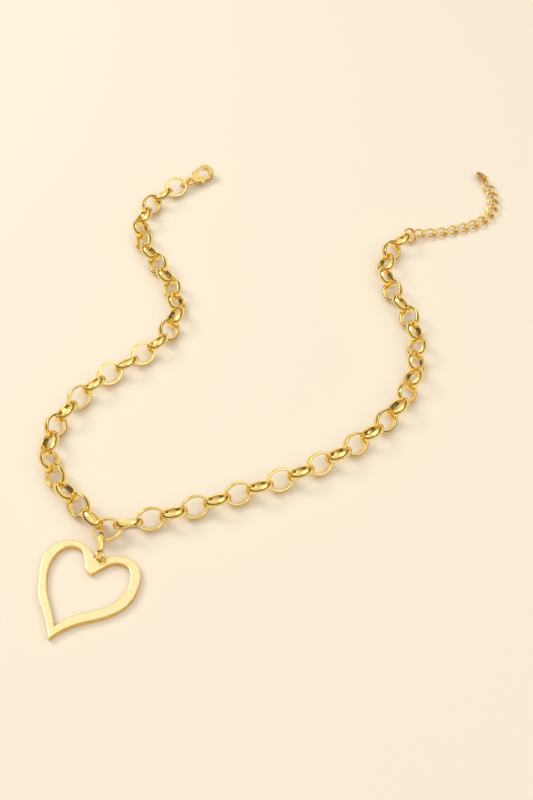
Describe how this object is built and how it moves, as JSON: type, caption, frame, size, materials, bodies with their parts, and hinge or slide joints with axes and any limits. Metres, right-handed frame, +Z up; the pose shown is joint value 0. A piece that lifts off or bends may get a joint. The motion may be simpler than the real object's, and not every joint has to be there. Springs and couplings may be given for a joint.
{
  "type": "pendant necklace",
  "caption": "Cable-chain necklace with an openwork heart pendant on a bail link, a lobster clasp and a twisted extension chain with a tag.",
  "frame": {"origin": "middle of the bounding box, on the surface the necklace lies on", "axes": "+Z up from the surface, +Y from the heart towards the clasp end, +X to the right seen from above"},
  "size_m": [0.1642, 0.2044, 0.0078],
  "materials": {
    "heart_gold": "polished pale yellow gold",
    "chain_gold": "polished yellow gold",
    "wire_gold": "polished yellow gold",
    "clasp_gold": "polished yellow gold",
    "spring_gold": "satin yellow gold",
    "tag_gold": "softly worn yellow gold"
  },
  "bodies": {
    "heart": {"heart": "heart_gold", "heart_eye": "heart_gold"},
    "bail_link": {"bail_link": "chain_gold"},
    "middle_link": {"middle_link": "chain_gold"},
    "left_link_01": {"left_link_01": "chain_gold"},
    "left_link_02": {"left_link_02": "chain_gold"},
    "left_link_03": {"left_link_03": "chain_gold"},
    "left_link_04": {"left_link_04": "chain_gold"},
    "left_link_05": {"left_link_05": "chain_gold"},
    "left_link_06": {"left_link_06": "chain_gold"},
    "left_link_07": {"left_link_07": "chain_gold"},
    "left_link_08": {"left_link_08": "chain_gold"},
    "left_link_09": {"left_link_09": "chain_gold"},
    "left_link_10": {"left_link_10": "chain_gold"},
    "left_link_11": {"left_link_11": "chain_gold"},
    "left_link_12": {"left_link_12": "chain_gold"},
    "left_link_13": {"left_link_13": "chain_gold"},
    "left_link_14": {"left_link_14": "chain_gold"},
    "left_link_15": {"left_link_15": "chain_gold"},
    "left_links_16_17": {"left_links_16_17": "chain_gold"},
    "left_links_18_19": {"left_links_18_19": "chain_gold"},
    "left_links_20_21": {"left_links_20_21": "chain_gold"},
    "left_links_22_23": {"left_links_22_23": "chain_gold"},
    "left_links_24_25": {"left_links_24_25": "chain_gold"},
    "left_links_26_27": {"left_links_26_27": "chain_gold"},
    "clasp_ring": {"clasp_ring": "wire_gold"},
    "clasp_body": {"clasp_body": "clasp_gold", "clasp_pin": "spring_gold", "clasp_spring": "spring_gold"},
    "clasp_trigger": {"clasp_trigger": "clasp_gold"},
    "right_link_01": {"right_link_01": "chain_gold"},
    "right_link_02": {"right_link_02": "chain_gold"},
    "right_link_03": {"right_link_03": "chain_gold"},
    "right_link_04": {"right_link_04": "chain_gold"},
    "right_link_05": {"right_link_05": "chain_gold"},
    "right_link_06": {"right_link_06": "chain_gold"},
    "right_link_07": {"right_link_07": "chain_gold"},
    "right_link_08": {"right_link_08": "chain_gold"},
    "right_link_09": {"right_link_09": "chain_gold"},
    "right_link_10": {"right_link_10": "chain_gold"},
    "right_link_11": {"right_link_11": "chain_gold"},
    "right_link_12": {"right_link_12": "chain_gold"},
    "right_link_13": {"right_link_13": "chain_gold"},
    "right_link_14": {"right_link_14": "chain_gold"},
    "right_link_15": {"right_link_15": "chain_gold"},
    "right_links_16_17": {"right_links_16_17": "chain_gold"},
    "right_links_18_19": {"right_links_18_19": "chain_gold"},
    "right_links_20_21": {"right_links_20_21": "chain_gold"},
    "right_links_22_23": {"right_links_22_23": "chain_gold"},
    "right_links_24_25": {"right_links_24_25": "chain_gold"},
    "right_links_26_27": {"right_links_26_27": "chain_gold"},
    "extension_ring": {"extension_ring": "wire_gold"},
    "extension_01_02": {"extension_01_02": "wire_gold"},
    "extension_03_04": {"extension_03_04": "wire_gold"},
    "extension_05_06": {"extension_05_06": "wire_gold"},
    "extension_07_08": {"extension_07_08": "wire_gold"},
    "extension_09_10": {"extension_09_10": "wire_gold"},
    "extension_11_12": {"extension_11_12": "wire_gold"},
    "tag_ring": {"tag_ring": "wire_gold"},
    "size_tag": {"size_tag": "tag_gold"}
  },
  "joints": [
    {"name": "bail_swing", "type": "hinge", "parent": "heart", "child": "bail_link", "pos_m": [-0.05878, -0.07355, 0.00396], "axis": [-0.9848, 0, 0.1736], "range_deg": [-10, 30]},
    {"name": "middle_swing", "type": "hinge", "parent": "bail_link", "child": "middle_link", "pos_m": [-0.05664, -0.07019, 0.00276], "axis": [0.9806, 0.1961, 0], "range_deg": [-8, 8]},
    {"name": "left_link_01_swing", "type": "hinge", "parent": "middle_link", "child": "left_link_01", "pos_m": [-0.06117, -0.06433, 0.00404], "axis": [0.6176, 0.609, 0.4977], "range_deg": [-8, 8]},
    {"name": "left_link_02_swing", "type": "hinge", "parent": "left_link_01", "child": "left_link_02", "pos_m": [-0.06579, -0.05921, 0.00352], "axis": [-0.5261, -0.4729, 0.7068], "range_deg": [-15, 15]},
    {"name": "left_link_03_swing", "type": "hinge", "parent": "left_link_02", "child": "left_link_03", "pos_m": [-0.07045, -0.05409, 0.0034], "axis": [-0.5474, -0.4477, -0.7071], "range_deg": [-15, 15]},
    {"name": "left_link_04_swing", "type": "hinge", "parent": "left_link_03", "child": "left_link_04", "pos_m": [-0.07457, -0.04855, 0.00344], "axis": [0.6135, 0.3516, -0.7071], "range_deg": [-35, 35]},
    {"name": "left_link_05_swing", "type": "hinge", "parent": "left_link_04", "child": "left_link_05", "pos_m": [-0.07752, -0.04235, 0.00345], "axis": [0.6808, 0.191, 0.7071], "range_deg": [-35, 35]},
    {"name": "left_link_06_swing", "type": "hinge", "parent": "left_link_05", "child": "left_link_06", "pos_m": [-0.07877, -0.03562, 0.00344], "axis": [-0.7069, 0.0155, 0.7071], "range_deg": [-35, 35]},
    {"name": "left_link_07_swing", "type": "hinge", "parent": "left_link_06", "child": "left_link_07", "pos_m": [-0.07804, -0.02881, 0.00344], "axis": [-0.6746, 0.212, -0.7071], "range_deg": [-35, 35]},
    {"name": "left_link_08_swing", "type": "hinge", "parent": "left_link_07", "child": "left_link_08", "pos_m": [-0.07557, -0.02238, 0.00344], "axis": [0.6164, -0.3465, -0.7071], "range_deg": [-35, 35]},
    {"name": "left_link_09_swing", "type": "hinge", "parent": "left_link_08", "child": "left_link_09", "pos_m": [-0.07199, -0.01646, 0.00344], "axis": [0.5762, -0.4099, 0.7071], "range_deg": [-35, 35]},
    {"name": "left_link_10_swing", "type": "hinge", "parent": "left_link_09", "child": "left_link_10", "pos_m": [-0.06779, -0.01096, 0.00344], "axis": [-0.5275, 0.4708, 0.7071], "range_deg": [-35, 35]},
    {"name": "left_link_11_swing", "type": "hinge", "parent": "left_link_10", "child": "left_link_11", "pos_m": [-0.06299, -0.00599, 0.00344], "axis": [-0.4608, 0.5363, -0.7071], "range_deg": [-35, 35]},
    {"name": "left_link_12_swing", "type": "hinge", "parent": "left_link_11", "child": "left_link_12", "pos_m": [-0.05767, -0.00155, 0.00344], "axis": [0.4362, -0.5565, -0.7071], "range_deg": [-35, 35]},
    {"name": "left_link_13_swing", "type": "hinge", "parent": "left_link_12", "child": "left_link_13", "pos_m": [-0.05232, 0.00283, 0.00344], "axis": [0.4738, -0.5249, 0.7071], "range_deg": [-35, 35]},
    {"name": "left_link_14_swing", "type": "hinge", "parent": "left_link_13", "child": "left_link_14", "pos_m": [-0.04744, 0.00771, 0.00344], "axis": [-0.5556, 0.4374, 0.7071], "range_deg": [-35, 35]},
    {"name": "left_link_15_swing", "type": "hinge", "parent": "left_link_14", "child": "left_link_15", "pos_m": [-0.04359, 0.01341, 0.00344], "axis": [-0.6449, 0.2901, -0.7071], "range_deg": [-35, 35]},
    {"name": "left_links_16_17_swing", "type": "hinge", "parent": "left_link_15", "child": "left_links_16_17", "pos_m": [-0.04132, 0.01987, 0.00344], "axis": [0.7, -0.1002, -0.7071], "range_deg": [-35, 35]},
    {"name": "left_links_18_19_swing", "type": "hinge", "parent": "left_links_16_17", "child": "left_links_18_19", "pos_m": [-0.04232, 0.03345, 0.00344], "axis": [-0.6663, -0.2367, 0.7071], "range_deg": [-35, 35]},
    {"name": "left_links_20_21_swing", "type": "hinge", "parent": "left_links_18_19", "child": "left_links_20_21", "pos_m": [-0.04805, 0.04603, 0.00344], "axis": [-0.616, -0.3472, 0.7071], "range_deg": [-35, 35]},
    {"name": "left_links_22_23_swing", "type": "hinge", "parent": "left_links_20_21", "child": "left_links_22_23", "pos_m": [-0.05437, 0.05833, 0.00344], "axis": [0.666, 0.2375, -0.7071], "range_deg": [-35, 35]},
    {"name": "left_links_24_25_swing", "type": "hinge", "parent": "left_links_22_23", "child": "left_links_24_25", "pos_m": [-0.05596, 0.0718, 0.00344], "axis": [0.6894, -0.1574, -0.7071], "range_deg": [-35, 35]},
    {"name": "left_links_26_27_swing", "type": "hinge", "parent": "left_links_24_25", "child": "left_links_26_27", "pos_m": [-0.05026, 0.08417, 0.00344], "axis": [-0.5326, 0.4651, 0.7071], "range_deg": [-35, 35]},
    {"name": "clasp_ring_swing", "type": "hinge", "parent": "left_links_26_27", "child": "clasp_ring", "pos_m": [-0.04084, 0.09294, 0.00276], "axis": [-0.5606, 0.6822, 0.4695], "range_deg": [-12, 15]},
    {"name": "clasp_swing", "type": "hinge", "parent": "clasp_ring", "child": "clasp_body", "pos_m": [-0.04084, 0.09294, 0.00276], "axis": [0.5606, -0.6822, -0.4695], "range_deg": [-12, 9]},
    {"name": "trigger_hinge", "type": "hinge", "parent": "clasp_body", "child": "clasp_trigger", "pos_m": [-0.03594, 0.09524, 0.00227], "axis": [0.2817, -0.3756, 0.8829], "range_deg": [0, 25], "stiffness_Nm_per_rad": 0.01, "springref_deg": -20.05, "deforming": ["clasp_spring"]},
    {"name": "right_link_01_swing", "type": "hinge", "parent": "middle_link", "child": "right_link_01", "pos_m": [-0.05231, -0.06521, 0.00383], "axis": [-0.1798, 0.8477, 0.4991], "range_deg": [-8, 8]},
    {"name": "right_link_02_swing", "type": "hinge", "parent": "right_link_01", "child": "right_link_02", "pos_m": [-0.04551, -0.06342, 0.0035], "axis": [0.2151, -0.6738, 0.707], "range_deg": [-15, 15]},
    {"name": "right_link_03_swing", "type": "hinge", "parent": "right_link_02", "child": "right_link_03", "pos_m": [-0.03878, -0.06136, 0.0034], "axis": [0.2245, -0.6705, -0.7071], "range_deg": [-15, 15]},
    {"name": "right_link_04_swing", "type": "hinge", "parent": "right_link_03", "child": "right_link_04", "pos_m": [-0.03212, -0.05909, 0.00342], "axis": [-0.2338, 0.6674, -0.7071], "range_deg": [-35, 35]},
    {"name": "right_link_05_swing", "type": "hinge", "parent": "right_link_04", "child": "right_link_05", "pos_m": [-0.02549, -0.05671, 0.00345], "axis": [-0.2447, 0.6634, 0.7071], "range_deg": [-35, 35]},
    {"name": "right_link_06_swing", "type": "hinge", "parent": "right_link_05", "child": "right_link_06", "pos_m": [-0.01889, -0.05426, 0.00344], "axis": [0.2496, -0.6616, 0.7071], "range_deg": [-35, 35]},
    {"name": "right_link_07_swing", "type": "hinge", "parent": "right_link_06", "child": "right_link_07", "pos_m": [-0.01231, -0.05176, 0.00344], "axis": [0.2555, -0.6593, -0.7071], "range_deg": [-35, 35]},
    {"name": "right_link_08_swing", "type": "hinge", "parent": "right_link_07", "child": "right_link_08", "pos_m": [-0.00577, -0.04915, 0.00344], "axis": [-0.2766, 0.6508, -0.7071], "range_deg": [-35, 35]},
    {"name": "right_link_09_swing", "type": "hinge", "parent": "right_link_08", "child": "right_link_09", "pos_m": [0.00066, -0.0463, 0.00344], "axis": [-0.3099, 0.6356, 0.7071], "range_deg": [-35, 35]},
    {"name": "right_link_10_swing", "type": "hinge", "parent": "right_link_09", "child": "right_link_10", "pos_m": [0.00693, -0.0431, 0.00344], "axis": [0.3473, -0.6159, 0.7071], "range_deg": [-35, 35]},
    {"name": "right_link_11_swing", "type": "hinge", "parent": "right_link_10", "child": "right_link_11", "pos_m": [0.01298, -0.03952, 0.00344], "axis": [0.3875, -0.5914, -0.7071], "range_deg": [-35, 35]},
    {"name": "right_link_12_swing", "type": "hinge", "parent": "right_link_11", "child": "right_link_12", "pos_m": [0.01878, -0.03553, 0.00344], "axis": [-0.4299, 0.5614, -0.7071], "range_deg": [-35, 35]},
    {"name": "right_link_13_swing", "type": "hinge", "parent": "right_link_12", "child": "right_link_13", "pos_m": [0.02425, -0.03112, 0.00344], "axis": [-0.475, 0.5238, 0.7071], "range_deg": [-35, 35]},
    {"name": "right_link_14_swing", "type": "hinge", "parent": "right_link_13", "child": "right_link_14", "pos_m": [0.0293, -0.02623, 0.00344], "axis": [0.5281, -0.4702, 0.7071], "range_deg": [-35, 35]},
    {"name": "right_link_15_swing", "type": "hinge", "parent": "right_link_14", "child": "right_link_15", "pos_m": [0.03376, -0.0208, 0.00344], "axis": [0.586, -0.3957, -0.7071], "range_deg": [-35, 35]},
    {"name": "right_links_16_17_swing", "type": "hinge", "parent": "right_link_15", "child": "right_links_16_17", "pos_m": [0.03743, -0.01482, 0.00344], "axis": [-0.636, 0.309, -0.7071], "range_deg": [-35, 35]},
    {"name": "right_links_18_19_swing", "type": "hinge", "parent": "right_links_16_17", "child": "right_links_18_19", "pos_m": [0.04208, -0.00161, 0.00344], "axis": [0.696, -0.1248, 0.7071], "range_deg": [-35, 35]},
    {"name": "right_links_20_21_swing", "type": "hinge", "parent": "right_links_18_19", "child": "right_links_20_21", "pos_m": [0.04321, 0.01236, 0.00344], "axis": [0.7043, 0.0628, 0.7071], "range_deg": [-35, 35]},
    {"name": "right_links_22_23_swing", "type": "hinge", "parent": "right_links_20_21", "child": "right_links_22_23", "pos_m": [0.03985, 0.02592, 0.00344], "axis": [-0.6504, -0.2775, -0.7071], "range_deg": [-35, 35]},
    {"name": "right_links_24_25_swing", "type": "hinge", "parent": "right_links_22_23", "child": "right_links_24_25", "pos_m": [0.03534, 0.03918, 0.00344], "axis": [-0.7015, -0.0891, -0.7071], "range_deg": [-35, 35]},
    {"name": "right_links_26_27_swing", "type": "hinge", "parent": "right_links_24_25", "child": "right_links_26_27", "pos_m": [0.03697, 0.05281, 0.00344], "axis": [0.6284, -0.3241, 0.7071], "range_deg": [-35, 35]},
    {"name": "extension_ring_swing", "type": "hinge", "parent": "right_links_26_27", "child": "extension_ring", "pos_m": [0.04525, 0.06336, 0.00251], "axis": [0.5066, -0.4933, 0.7071], "range_deg": [-30, 30]},
    {"name": "extension_01_02_swing", "type": "hinge", "parent": "extension_ring", "child": "extension_01_02", "pos_m": [0.04525, 0.06336, 0.00251], "axis": [-0.5066, 0.4933, -0.7071], "range_deg": [-30, 30]},
    {"name": "extension_03_04_swing", "type": "hinge", "parent": "extension_01_02", "child": "extension_03_04", "pos_m": [0.05554, 0.06626, 0.00133], "axis": [0.0662, -0.7071, -0.704], "range_deg": [-30, 30]},
    {"name": "extension_05_06_swing", "type": "hinge", "parent": "extension_03_04", "child": "extension_05_06", "pos_m": [0.06409, 0.06848, 0.00115], "axis": [-0.188, 0.6817, 0.7071], "range_deg": [-30, 30]},
    {"name": "extension_07_08_swing", "type": "hinge", "parent": "extension_05_06", "child": "extension_07_08", "pos_m": [0.07231, 0.07173, 0.0012], "axis": [-0.2795, 0.6495, 0.7071], "range_deg": [-30, 30]},
    {"name": "extension_09_10_swing", "type": "hinge", "parent": "extension_07_08", "child": "extension_09_10", "pos_m": [0.07843, 0.07794, 0.00119], "axis": [0.5656, -0.4244, -0.7071], "range_deg": [-30, 30]},
    {"name": "extension_11_12_swing", "type": "hinge", "parent": "extension_09_10", "child": "extension_11_12", "pos_m": [0.08004, 0.08658, 0.00119], "axis": [0.7041, -0.0652, -0.7071], "range_deg": [-30, 30]},
    {"name": "tag_ring_swing", "type": "hinge", "parent": "extension_11_12", "child": "tag_ring", "pos_m": [0.07778, 0.09567, 0.00196], "axis": [-0.8636, -0.275, 0.4226], "range_deg": [-20, 6]},
    {"name": "tag_swing", "type": "hinge", "parent": "tag_ring", "child": "size_tag", "pos_m": [0.07778, 0.09567, 0.00196], "axis": [-0.8636, -0.275, 0.4226], "range_deg": [-20, 6]}
  ]
}
